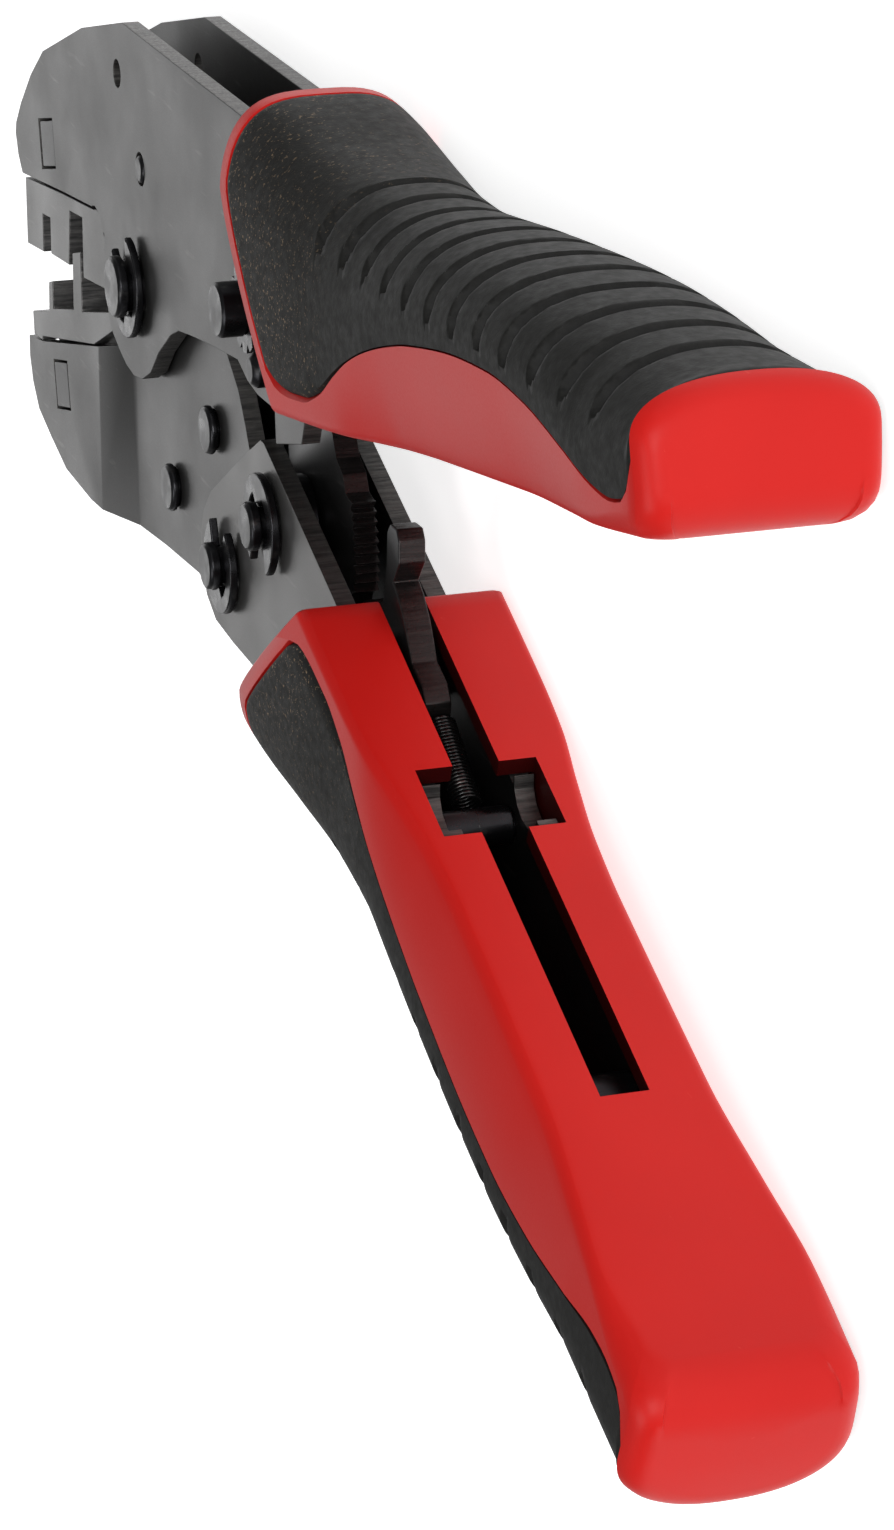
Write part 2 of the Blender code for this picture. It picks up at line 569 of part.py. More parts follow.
def make_spring():
    """The pawl's tension spring, as the bar that its coils fill."""
    along = direction(SPRING_HOOK, SPRING_ANCHOR)
    start = polar(SPRING_HOOK, 2.9, along)
    end = polar(SPRING_ANCHOR, ANCHOR_R + 1.0, along + 180)
    tube_part("pawl_spring", (*start, 0), (*end, 0), SPRING_R, STEEL_LIGHT)


# Grips


def section_point(s, i, inset):
    """Point i of the section at s, as depth and z: flat on the inner face, arched over the back."""
    depth = between(GRIP_DEPTH, s) - 2 * inset
    half = between(GRIP_WIDTH, s) - inset
    waist = 0.42 * depth
    a = 2 * math.pi * (i + 0.5) / SECTION
    c, n = math.cos(a), math.sin(a)
    power, reach = (2 / 2.3, depth - waist) if n > 0 else (2 / 4.5, waist)
    return inset + waist + reach * math.copysign(abs(n) ** power, n), half * math.copysign(abs(c) ** power, c)


def grip_front(d):
    """Where the slanted front of a grip lies at depth d."""
    return GRIP_FRONT - GRIP_LEAN * min(d, 22.0)


def grip_mesh(name, grip, inset=0.0, front=0.0, back=0.0):
    """A loft over the grip's sections, from its slanted front to its end."""
    work = bmesh.new()
    rings = [[] for _ in STATIONS]
    end = GRIP_END + back
    for i in range(SECTION):
        start = GRIP_FRONT
        for _ in range(9):
            start = grip_front(section_point(start, i, inset)[0]) + front
        for share, squeeze, ring in zip(STATIONS, SQUEEZE, rings):
            s = start + (end - start) * share
            d, z = section_point(s, i, inset + squeeze)
            x, y = grip_point(grip, s, d)
            ring.append(work.verts.new((metres(x), metres(y), metres(z))))
    for a, b in zip(rings, rings[1:]):
        for i in range(SECTION):
            j = (i + 1) % SECTION
            work.faces.new((a[i], a[j], b[j], b[i]))
    work.faces.new(rings[0])
    work.faces.new(rings[-1])
    bmesh.ops.recalc_face_normals(work, faces=work.faces)
    mesh = bpy.data.meshes.new(name)
    work.to_mesh(mesh)
    work.free()
    return mesh


def overlay_region(extra):
    """Outline of the soft overlay in the grip's own frame, grown by extra."""
    rim = OVERLAY_RIM - extra
    end = GRIP_END - OVERLAY_END + extra
    wave = [(s + extra * (1 if s > 97 else -1 if s < 0 else 0), d - extra) for s, d in WAVE]
    outline = [(grip_front(7.0) + rim, 8.3 - extra)] + wave
    return outline + [(end, 11.0), (end, 40.0), (grip_front(22) + rim, 40.0), (grip_front(22) + rim, 22.0)]


def pocket_outline(clear):
    """The room for the tang inside a grip, open at the front."""
    corners = ((-40, TANG_TOP - clear), (TANG_END + clear, TANG_TOP - clear), (TANG_END + clear, TANG_BOTTOM + clear),
               (22, TANG_BOTTOM + clear), (1.0, 23.8), (-40, 30.8))
    return corners


def grip_prism(name, grip, outline, half):
    """A cutter through the grip, whose outline is in the grip's own frame."""
    return cutter(name, flat_mesh(name, [[grip_point(grip, s, d) for s, d in outline]], -half, half))


def make_grip(prefix, grip, slot_end, window):
    shell = add_mesh(prefix + "_grip_shell", grip_mesh(prefix + "_shell", grip), RED, smooth=True)
    overlay = add_mesh(prefix + "_grip_overlay", grip_mesh(prefix + "_skin", grip), BLACK, smooth=True)
    combine(overlay, grip_prism(prefix + "_region", grip, overlay_region(0.0), 20), "INTERSECT")
    combine(overlay, cutter(prefix + "_core", grip_mesh(prefix + "_core", grip, OVERLAY_T, -8, 8)), "DIFFERENCE")
    recess = grip_prism(prefix + "_recess", grip, overlay_region(GAP), 20)
    combine(recess, cutter(prefix + "_inner", grip_mesh(prefix + "_inner", grip, OVERLAY_T + GAP, -8, 8)),
            "DIFFERENCE")
    combine(shell, recess, "DIFFERENCE")
    combine(shell, grip_prism(prefix + "_pocket", grip, pocket_outline(GAP), PLATE_OUT + GAP), "DIFFERENCE")
    slot = ((-40, -3), (slot_end, -3), (slot_end, 8), (-40, 8))
    combine(shell, grip_prism(prefix + "_slot", grip, slot, SLOT_HALF), "DIFFERENCE")
    if window:
        opening = ((window[0], -4), (window[1], -4), (window[1], 7), (window[0], 7))
        combine(shell, grip_prism(prefix + "_window", grip, opening, WINDOW_HALF), "DIFFERENCE")


def stand_on_origin():
    """Moves every piece so that the tool's box stands on Z = 0, centred on X = Y = 0."""
    graph = bpy.context.evaluated_depsgraph_get()
    low, high = Vector((9, 9, 9)), Vector((-9, -9, -9))
    for obj in parts.objects:
        evaluated = obj.evaluated_get(graph)
        for vert in evaluated.to_mesh().vertices:
            place = evaluated.matrix_world @ vert.co
            low = Vector(map(min, low, place))
            high = Vector(map(max, high, place))
        evaluated.to_mesh_clear()
    shift = Vector((-(low.x + high.x) / 2, -(low.y + high.y) / 2, -low.z))
    for obj in [*parts.objects, *cutters.objects]:
        obj.location += shift
    return shift


clear_scene()
parts = new_collection(COLLECTION)
cutters = new_collection("cutters")
make_frame()
make_upper_die()
make_lower_die()
make_jaw()
make_link()
make_adjuster()
make_handle()
make_pawl()
make_spring()
make_grip("upper", UPPER_GRIP, 34.0, None)
make_grip("lower", LOWER_GRIP, SLOT_END, WINDOW)
bpy.context.view_layer.update()
print("shift in mm:", [round(1000 * v, 3) for v in stand_on_origin()])
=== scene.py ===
"""The looks of the modular-plug crimping tool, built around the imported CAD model."""

import math

import bmesh
import bpy
from mathutils import Matrix, Vector


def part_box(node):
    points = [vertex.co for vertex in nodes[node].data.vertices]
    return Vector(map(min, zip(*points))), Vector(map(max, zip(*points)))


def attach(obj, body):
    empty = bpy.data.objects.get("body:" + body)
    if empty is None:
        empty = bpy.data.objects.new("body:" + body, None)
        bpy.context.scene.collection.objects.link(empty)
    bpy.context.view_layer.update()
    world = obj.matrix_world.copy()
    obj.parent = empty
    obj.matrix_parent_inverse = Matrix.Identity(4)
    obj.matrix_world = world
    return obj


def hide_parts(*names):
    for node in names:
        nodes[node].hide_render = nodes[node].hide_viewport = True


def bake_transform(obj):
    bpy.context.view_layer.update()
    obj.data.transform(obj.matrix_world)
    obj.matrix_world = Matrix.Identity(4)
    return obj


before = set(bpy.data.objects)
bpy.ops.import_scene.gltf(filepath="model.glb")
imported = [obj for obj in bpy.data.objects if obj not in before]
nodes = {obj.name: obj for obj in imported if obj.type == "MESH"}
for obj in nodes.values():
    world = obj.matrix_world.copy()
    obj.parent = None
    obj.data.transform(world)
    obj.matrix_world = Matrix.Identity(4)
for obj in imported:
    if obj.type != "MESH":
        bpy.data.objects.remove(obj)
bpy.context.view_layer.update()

# The design frame, in millimetres: its origin is the main pivot, +X runs to the grip ends,
# +Y to the fixed grip and +Z to the side with the clips.
PIN_LOW_Z = -7.25
pin_low, pin_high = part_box("pivot_pin")
ORIGIN = Vector(((pin_low.x + pin_high.x) / 2, (pin_low.y + pin_high.y) / 2, pin_low.z - PIN_LOW_Z / 1000))

# Grips: (origin, angle in degrees, side). All lengths are in millimetres. In a grip's own frame
# s runs along it, d from its inner face to its back, and z across it.
UPPER_GRIP = ((77.0, 6.3), 9.75, 1)
LOWER_GRIP = ((85.0, -13.4), -21.3, -1)
GRIP_FRONT = -4.3
GRIP_LEAN = 0.64
LEAN_DEPTH = 22.0
GRIP_END = 103.0

# Tables of (s, value): the grip's depth and half-width, the half-width of its inner face, the
# overlay's edge, the roundness of the back, and the radius along the inner face.
DEPTH = ((-19, 31.2), (-12, 29.6), (0, 26.0), (12, 23.4), (25, 21.6), (40, 20.7), (60, 19.0),
         (80, 16.8), (95, 15.0), (104, 14.0))
WIDTH = ((-19, 11.4), (0, 11.2), (15, 10.6), (40, 10.4), (70, 10.6), (104, 10.8))
FLAT = ((-4, 10.7), (10, 10.6), (17, 10.3), (25, 9.2), (33, 8.3), (42, 8.0), (66, 8.1), (79, 9.0),
        (90, 10.0), (97, 10.3), (104, 10.2))
WAVE = ((-6.5, 7.0), (-5.0, 4.9), (-3.2, 3.6), (-1.0, 2.7), (3, 2.3), (7, 2.3), (12, 3.3),
        (17.6, 5.8), (22, 7.5), (28, 9.0), (35, 10.1), (41, 10.7), (53, 11.1), (64, 10.6),
        (74, 8.9), (84, 5.9), (91, 3.6), (95, 3.0), (98, 3.3), (100, 5.0), (100.7, 7.0))
ARCH = ((-16, 3.3), (-4, 3.0), (10, 2.5), (25, 2.3))
CREASE = ((-4, 0.9), (86, 0.9), (97, 2.4), (104, 3.0))

WAIST = 0.42  # The widest place, as a share of the depth
WAIST_CLEAR = 1.5  # Its least distance from the overlay's edge
SIDE_POWER = 1.6
CREASE_MOST = 0.8  # The crease's radius is at most this share of the overlay's edge
END_START = 55.0  # Where the two grips' depths start to differ
END_R = 2.4
TURN_R = 4.6
CROWN = 0.25
END_STEPS = 6
RIM = 2.7
BAND = 2.0
FRONT_EDGE = ((0.0, 0.9), (0.25, 0.3), (0.8, 0.0), (RIM, 0.0))  # (From the front, inset)
RECESS = 1.65
MIDDLE_STEPS = 70
SHELL_CREASE = 38  # Degrees from which an edge is drawn sharp
SKIN_CREASE = 50
PLACE_ROUNDS = 12  # Rounds that settle a point on a slanting station

# Overlay
LIP = 0.45
LIP_SINK = 0.42
LIP_MIDDLE = (0.35, 0.13)
SEAM = 0.12
SKIN = 1.3
SKIN_UNDER = 0.3
OVERLAY_STEPS = 400
OVERLAY_LENGTH = 104.0
OVERLAY_CLEAR = 0.9
DUST_REACH = 38.0
DUST_POWER = 1.2
GROOVES = 12
GROOVE_FIRST = 8.4
GROOVE_PITCH = 7.218
GROOVE_ANGLE = 9.75
GROOVE_HALF = 1.05
GROOVE_DEEP = 1.45
GROOVE_WALL = 0.42
GROOVE_D = (17.0, 9.6)  # Where the first and the last groove end

# Cutters in the grips' own frames
TANG_POCKET = ((-40, 1.9), (76.3, 1.9), (76.3, 14.3), (22, 14.3), (1.0, 23.8), (-40, 30.8))
POCKET_HALF = 6.05
LOWER_WINDOW = (21.5, 31.1, 6.1)  # From, to and half-width

# make_grip sets how much deeper the end of the grip it makes is than DEPTH says.
grip_shape = {"end_depth": 0.0}


def mm(x, y, z):
    """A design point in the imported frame, in metres."""
    return ORIGIN + Vector((x, y, z)) / 1000


def smooth(table, at):
    """Smooth interpolation in a table of (place, value): a cubic curve that doesn't overshoot."""
    if at <= table[0][0]:
        return table[0][1]
    if at >= table[-1][0]:
        return table[-1][1]
    for k in range(len(table) - 1):
        if at <= table[k + 1][0]:
            break
    (x0, y0), (x1, y1) = table[k], table[k + 1]
    slope = (y1 - y0) / (x1 - x0)

    def tangent(i):
        if i == 0 or i == len(table) - 1:
            return slope
        a = (table[i][1] - table[i - 1][1]) / (table[i][0] - table[i - 1][0])
        b = (table[i + 1][1] - table[i][1]) / (table[i + 1][0] - table[i][0])
        return 0.0 if a * b <= 0 else 2 * a * b / (a + b)

    m0, m1 = tangent(k), tangent(k + 1)
    h = x1 - x0
    t = (at - x0) / h
    return ((2 * t ** 3 - 3 * t ** 2 + 1) * y0 + (t ** 3 - 2 * t ** 2 + t) * h * m0
            + (3 * t ** 2 - 2 * t ** 3) * y1 + (t ** 3 - t ** 2) * h * m1)


def turned(point, angle, centre):
    """The point turned round the centre by an angle in degrees."""
    c, s = math.cos(math.radians(angle)), math.sin(math.radians(angle))
    x, y = point[0] - centre[0], point[1] - centre[1]
    return (centre[0] + c * x - s * y, centre[1] + s * x + c * y)


def grip_place(grip, s, d, z):
    """A point of a grip's own frame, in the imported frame."""
    origin, angle, side = grip
    x, y = turned((origin[0] + s, origin[1] + side * d), angle, origin)
    return mm(x, y, z)


# Materials


class Maker:
    """A material's node tree, with short calls for the nodes."""

    def __init__(self, name):
        self.material = bpy.data.materials.new(name)
        self.material.use_nodes = True
        self.tree = self.material.node_tree
        self.shader = self.tree.nodes["Principled BSDF"]
        coords = self.tree.nodes.new("ShaderNodeTexCoord")
        self.coords = coords.outputs["Object"]

    def node(self, kind, inputs=(), **settings):
        made = self.tree.nodes.new(kind)
        for key, value in settings.items():
            setattr(made, key, value)
        for key, value in dict(inputs).items():
            if isinstance(value, bpy.types.NodeSocket):
                self.tree.links.new(value, made.inputs[key])
            else:
                made.inputs[key].default_value = value
        return made

    def stretched(self, scale):
        return self.node("ShaderNodeMapping", {"Vector": self.coords, "Scale": scale}).outputs["Vector"]

    def noise(self, scale, detail=3.0, roughness=0.5, vector=None, distortion=0.0):
        inputs = {"Vector": vector or self.coords, "Scale": scale, "Detail": detail, "Roughness": roughness,
                  "Distortion": distortion}
        return self.node("ShaderNodeTexNoise", inputs).outputs["Fac"]

    def mix(self, share, a, b):
        made = self.node("ShaderNodeMix", data_type="RGBA")
        for place, value in ((0, share), (6, a), (7, b)):
            if isinstance(value, bpy.types.NodeSocket):
                self.tree.links.new(value, made.inputs[place])
            else:
                made.inputs[place].default_value = (*value, 1) if isinstance(value, tuple) else value
        return made.outputs[2]

    def math(self, operation, a, b=0.0):
        made = self.node("ShaderNodeMath", operation=operation)
        for place, value in ((0, a), (1, b)):
            if isinstance(value, bpy.types.NodeSocket):
                self.tree.links.new(value, made.inputs[place])
            else:
                made.inputs[place].default_value = value
        return made.outputs[0]

    def span(self, value, low, high, to_low=0.0, to_high=1.0):
        return self.node("ShaderNodeMapRange", {"Value": value, "From Min": low, "From Max": high,
                                                "To Min": to_low, "To Max": to_high}).outputs["Result"]

    def bump(self, height, strength, distance):
        inputs = {"Height": height, "Strength": strength, "Distance": distance}
        return self.node("ShaderNodeBump", inputs).outputs["Normal"]

    def set(self, **values):
        for key, value in values.items():
            socket = self.shader.inputs[key.replace("_", " ")]
            if isinstance(value, bpy.types.NodeSocket):
                self.tree.links.new(value, socket)
            else:
                socket.default_value = (*value, 1) if isinstance(value, tuple) else value
        return self.material


def steel_face(name, dark, light, rough):
    """Blackened plate: a satin face with faint cloudiness, fine pits and a few rubbed marks."""
    m = Maker(name)
    cloud = m.noise(60, 4, 0.6)
    rub = m.noise(900, 2, 0.5, m.stretched((0.12, 1.0, 1.0)))
    tone = m.mix(m.span(cloud, 0.3, 0.7), dark, light)
    marks = m.span(rub, 0.66, 0.8)
    colour = m.mix(m.math("MULTIPLY", marks, 0.25), tone, (0.30, 0.29, 0.28))
    grain = m.noise(5200, 3, 0.6)
    height = m.math("ADD", grain, m.math("MULTIPLY", cloud, 0.6))
    gloss = m.math("ADD", cloud, m.math("MULTIPLY", grain, 0.5))
    roughness = m.span(gloss, 0.4, 1.1, rough - 0.06, rough + 0.1)
    return m.set(Base_Color=colour, Metallic=0.85, Roughness=roughness, Normal=m.bump(height, 0.10, 0.00004))


def steel_edge(name, dark, light, rough):
    """The blanked edge of a plate: streaks across the thickness, and torn grain."""
    m = Maker(name)
    streak = m.noise(2600, 3, 0.6, m.stretched((1.0, 1.0, 0.08)))
    grain = m.noise(3000, 3, 0.7)
    colour = m.mix(m.span(streak, 0.35, 0.7), dark, light)
    roughness = m.span(grain, 0.3, 0.7, rough - 0.08, rough + 0.12)
    height = m.math("ADD", streak, m.math("MULTIPLY", grain, 0.4))
    return m.set(Base_Color=colour, Metallic=0.8, Roughness=roughness, Normal=m.bump(height, 0.45, 0.00012))


def oxide(name, base, worn, rough):
    """Black oxide on a turned or stamped part, rubbed bright in places."""
    m = Maker(name)
    cloud = m.noise(420, 3, 0.6)
    grain = m.noise(6000, 2, 0.5)
    colour = m.mix(m.span(cloud, 0.58, 0.78), base, worn)
    roughness = m.span(cloud, 0.3, 0.7, rough - 0.05, rough + 0.1)
    return m.set(Base_Color=colour, Metallic=0.9, Roughness=roughness, Normal=m.bump(grain, 0.12, 0.00003))


def red_plastic(name, dark, light, scuffed):
    """Moulded red plastic: a very fine texture, faint flow marks and a few pale scuffs."""
    m = Maker(name)
    flow = m.noise(30, 3, 0.5)
    grain = m.noise(4200, 2, 0.5)
    scuff = m.noise(700, 4, 0.7, m.stretched((0.35, 1.0, 1.0)), 1.5)
    tone = m.mix(m.span(flow, 0.3, 0.7), dark, light)
    marks = m.math("MULTIPLY", m.span(scuff, 0.70, 0.80), 0.35)
    colour = m.mix(marks, tone, scuffed)
    return m.set(Base_Color=colour, Roughness=m.span(m.math("ADD", flow, grain), 0.6, 1.4, 0.36, 0.46),
                 Specular_IOR_Level=0.15, Normal=m.bump(grain, 0.07, 0.00004))


def soft_overlay():
    """Black soft overlay: a fine grain that catches light, with tan dust near the front, faint rubs, and
    painted shade in the grooves.
    """
    m = Maker("black_soft_overlay")
    grain = m.noise(3600, 3, 0.6)
    coarse = m.noise(900, 3, 0.6)
    patch = m.noise(45, 3, 0.6)
    tone = m.mix(m.span(grain, 0.3, 0.75), (0.004, 0.004, 0.0036), (0.010, 0.0097, 0.0085))
    dust = m.node("ShaderNodeAttribute", attribute_name="dust").outputs["Fac"]
    specks = m.span(m.noise(2400, 3, 0.7, m.stretched((1.0, 1.0, 0.6))), 0.60, 0.66)
    share = m.math("MULTIPLY", m.math("MULTIPLY", specks, dust), m.span(patch, 0.38, 0.62, 0.15, 1.0))
    # Painted shade: the overlay is pulled towards a flat dark tone where the groove attribute marks a groove.
    sunk = m.node("ShaderNodeAttribute", attribute_name="groove").outputs["Fac"]
    tone = m.mix(m.math("MULTIPLY", sunk, 0.8), tone, (0.006, 0.006, 0.006))
    colour = m.mix(share, tone, (0.36, 0.25, 0.15))
    height = m.math("ADD", grain, m.math("MULTIPLY", coarse, 0.5))
    return m.set(Base_Color=colour, Roughness=m.span(coarse, 0.3, 0.7, 0.56, 0.70), Specular_IOR_Level=0.22,
                 Normal=m.bump(height, 0.22, 0.00009))


MATERIALS = {
    "plate": steel_face("blackened_plate_face", (0.044, 0.043, 0.0425), (0.063, 0.062, 0.061), 0.36),
    "plate_edge": steel_edge("blackened_plate_edge", (0.040, 0.039, 0.038), (0.11, 0.105, 0.10), 0.44),
    # Painted light: the handle plates get a brighter copy of the same blackened steel as the other plates,
    # standing in for how the light falls on them.
    "handle": steel_face("blackened_handle_painted_light", (0.094, 0.092, 0.090), (0.125, 0.122, 0.120), 0.37),
    # Painted shade: a much darker copy of the steel for the plates' faces that turn to the inside of the
    # stack, where shade falls between the plates.
    "inner_shade": steel_face("blackened_plate_painted_shade", (0.012, 0.012, 0.012), (0.022, 0.021, 0.021), 0.42),
    "die": steel_face("die_steel_face", (0.024, 0.0232, 0.0225), (0.042, 0.0405, 0.039), 0.32),
    "die_edge": steel_edge("die_steel_edge", (0.06, 0.06, 0.06), (0.20, 0.195, 0.19), 0.42),
    "key": steel_face("die_key_face", (0.030, 0.030, 0.032), (0.045, 0.044, 0.044), 0.36),
    "oxide": oxide("black_oxide_turned", (0.020, 0.020, 0.022), (0.075, 0.073, 0.072), 0.30),
    "clip": oxide("black_oxide_clip", (0.022, 0.022, 0.024), (0.070, 0.068, 0.066), 0.27),
    "link": steel_face("link_face", (0.030, 0.030, 0.032), (0.050, 0.049, 0.049), 0.34),
    "link_edge": steel_edge("link_edge", (0.018, 0.016, 0.016), (0.034, 0.029, 0.028), 0.33),
    "spring": oxide("spring_wire", (0.030, 0.030, 0.030), (0.12, 0.115, 0.11), 0.24),
    "red": red_plastic("red_moulded_plastic", (0.46, 0.0085, 0.0065), (0.52, 0.0115, 0.0085),
                       (0.72, 0.12, 0.09)),
    # Painted shade: a near-black copy of the red plastic for the cut walls of the tang pocket, slot and
    # window, which are red plastic lying in shade.
    "inside": red_plastic("red_plastic_painted_shade", (0.020, 0.001, 0.001), (0.030, 0.001, 0.001),
                          (0.05, 0.004, 0.004)),
    "overlay": soft_overlay(),
}


# CAD nodes that stay: fine bevels, smooth shading and finishes

FINISHES = {
    "frame_plate_near": ("plate", "plate_edge"), "frame_plate_far": ("plate", "plate_edge"),
    "jaw_plate_near": ("plate", "plate_edge"), "jaw_plate_far": ("plate", "plate_edge"),
    "handle_plate_near": ("handle", "plate_edge"), "handle_plate_far": ("handle", "plate_edge"),
    "upper_die": ("die", "die_edge"), "lower_die": ("die", "die_edge"),
    "upper_die_key": ("key", "plate_edge"), "lower_die_key": ("key", "plate_edge"),
    "toggle_link": ("link", "link_edge"), "ratchet_pawl": ("link", "link_edge"),
    "pivot_clip": ("clip", "clip"), "handle_pin_clip": ("clip", "clip"), "link_pin_clip": ("clip", "clip"),
    "eccentric_clip": ("clip", "clip"), "star_wheel": ("clip", "clip"),
}
REPLACED = ("upper_grip_shell", "upper_grip_overlay", "lower_grip_shell", "lower_grip_overlay", "pawl_spring")
BEVELS = {"frame_plate": 0.28, "jaw_plate": 0.28, "handle_plate": 0.28, "upper_die": 0.12, "lower_die": 0.12,
          "star_wheel": 0.15, "toggle_link": 0.18, "ratchet_pawl": 0.25, "pivot_clip": 0.2}
BEVEL = 0.16
BEVEL_ANGLE = 32
FLAT_NORMAL = 0.7
WELD = 1e-6
FLAT_ANGLE = 0.5
NORMAL_WEIGHT = 80

for name, obj in nodes.items():
    if name in REPLACED:
        continue
    face, edge = FINISHES.get(name, ("oxide", "oxide"))
    mesh = obj.data
    mesh.materials.clear()
    mesh.materials.append(MATERIALS[face])
    mesh.materials.append(MATERIALS[edge])
    mesh.materials.append(MATERIALS["inner_shade"])
    inward = {"near": -1, "_far": 1}.get(name[-4:], 0) if "plate" in name else 0
    for polygon in mesh.polygons:
        polygon.material_index = 0 if abs(polygon.normal.z) > FLAT_NORMAL else 1
        # Faces turned to the inside of the plate stack get the darker copy of the steel: painted shade
        # between the plates.
        if polygon.normal.z * inward > FLAT_NORMAL:
            polygon.material_index = 2
    for attribute in ("custom_normal", "sharp_edge", "sharp_face"):
        if attribute in mesh.attributes:
            mesh.attributes.remove(mesh.attributes[attribute])
    mesh.shade_smooth()
    weld = obj.modifiers.new("weld", "WELD")
    weld.merge_threshold = WELD
    flat = obj.modifiers.new("flat", "DECIMATE")
    flat.decimate_type = "DISSOLVE"
    flat.angle_limit = math.radians(FLAT_ANGLE)
    flat.delimit = {"MATERIAL"}
    bevel = obj.modifiers.new("edges", "BEVEL")
    bevel.width = next((w for start, w in BEVELS.items() if name.startswith(start)), BEVEL) / 1000
    bevel.segments = 2
    bevel.limit_method = "ANGLE"
    bevel.angle_limit = math.radians(BEVEL_ANGLE)
    normals = obj.modifiers.new("normals", "WEIGHTED_NORMAL")
    normals.weight = NORMAL_WEIGHT


# Grips


def front(d):
    """Where the grip starts, which leans back with depth."""
    return GRIP_FRONT - GRIP_LEAN * min(d, LEAN_DEPTH)


def depth_at(s):
    """The grip's depth, which the two grips differ in at their ends."""
    share = min(1.0, max(0.0, (s - END_START) / (GRIP_END - END_START)))
    return smooth(DEPTH, s) + grip_shape["end_depth"] * share * share * (3 - 2 * share)


def wave(s):
    """The depth at which the overlay's edge runs."""
    return smooth(WAVE, s)


def waist(s):
    """The depth at which the grip is widest."""
    return max(WAIST * depth_at(s), wave(s) + WAIST_CLEAR)


def side_z(s, d):
    """Half-width at depth d, from the crease of the inner face to the waist."""
    share = min(1.0, max(0.0, d / waist(s)))
    flat, half = smooth(FLAT, s), smooth(WIDTH, s)
    return flat + (half - flat) * (1 - (1 - share) ** SIDE_POWER)


# Places of a section's points, as shares: on the inner face, round its crease (back, down), up the
# side, over the overlay's edge, and the number of steps over the back.
INNER = (0.0, 0.25, 0.5, 0.75, 0.93)
ROUND = ((1.0, 0.0), (0.72, 0.04), (0.45, 0.16), (0.2, 0.40), (0.05, 0.70), (0.0, 1.0))
SIDE = (0.12, 0.3, 0.5, 0.7, 0.85, 0.95, 1.0)
OVER = (0.0, 0.12, 0.35, 0.65)
ARCH_STEPS = 20
INNER_COUNT = len(INNER) + len(ROUND) + len(SIDE)
OUTER_COUNT = len(OVER) + ARCH_STEPS + 1
CAP_RINGS = (0.985, 0.95, 0.9, 0.83, 0.74, 0.62, 0.46, 0.25)


def inner_point(s, k):
    """Points from the middle of the inner face to its crease and down the side to the overlay."""
    flat = smooth(FLAT, s)
    radius = min(smooth(CREASE, s), CREASE_MOST * wave(s))
    if k < len(INNER):
        return 0.0, INNER[k] * (flat - radius)
    k -= len(INNER)
    if k < len(ROUND):
        back, down = ROUND[k]
        d = radius * down
        return d, side_z(s, d) - radius * back
    share = SIDE[k - len(ROUND)]
    d = radius + (wave(s) - radius) * share
    return d, side_z(s, d)


def outer_point(s, k):
    """Points from the overlay's edge over the back to its middle line."""
    low, middle = wave(s), waist(s)
    if k < len(OVER):
        d = low + (middle - low) * OVER[k]
        return d, side_z(s, d)
    turn = math.pi / 2 * (k - len(OVER)) / ARCH_STEPS
    depth, half = depth_at(s), smooth(WIDTH, s)
    power = 2 / smooth(ARCH, s)
    return middle + (depth - middle) * math.sin(turn) ** power, half * abs(math.cos(turn)) ** power


def end_at(d):
    """The end face, which turns into the inner face in a wide round."""
    if d >= TURN_R:
        return GRIP_END
    return GRIP_END - TURN_R + math.sqrt(TURN_R ** 2 - (TURN_R - d) ** 2)


def place_station(point, station):
    """(s, d, z) of a column's point at a station: ('front', mm), ('end', mm) or a share of the middle."""
    s = 0.0
    for _ in range(PLACE_ROUNDS):
        d, z = point(s)
        start, end = front(d), end_at(d)
        if isinstance(station, tuple):
            s = start + station[1] if station[0] == "front" else end - station[1]
        else:
            s = start + RIM + (end - BAND - start - RIM) * station
    d, z = point(s)
    return s, d, z


def shrunk(s, d, z, by, inner=1.0):
    """The point moved into the section by the given length, and by a share of it at the inner face."""
    depth, half = depth_at(s), smooth(WIDTH, s)
    return s, inner * by + d * (1 - (1 + inner) * by / depth), z * (1 - by / half)


def finished_mesh(name, work):
    bmesh.ops.recalc_face_normals(work, faces=work.faces)
    mesh = bpy.data.meshes.new(name)
    work.to_mesh(mesh)
    work.free()
    return mesh


def both_sides(grip, half, skip):
    """A ring: its +Z half, then the mirror image without the points that both halves share."""
    return ([grip_place(grip, *p) for p in half]
            + [grip_place(grip, s, d, -z) for s, d, z in reversed(half[skip:-1])])


def tube_of_rings(name, rings):
    """One closed skin through the rings, with a face over each end."""
    work = bmesh.new()
    made = [[work.verts.new(p) for p in ring] for ring in rings]
    count = len(rings[0])
    for a, b in zip(made, made[1:]):
        for i in range(count):
            j = (i + 1) % count
            work.faces.new((a[i], a[j], b[j], b[i]))
    work.faces.new(made[0])
    work.faces.new(made[-1])
    return finished_mesh(name, work)


def add_object(name, mesh, material, body=None, replaces=()):
    obj = bpy.data.objects.new(name, mesh)
    bpy.context.scene.collection.objects.link(obj)
    if material:
        mesh.materials.clear()
        mesh.materials.append(material)
    if body:
        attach(obj, body)
    if replaces:
        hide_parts(*replaces)
    return obj


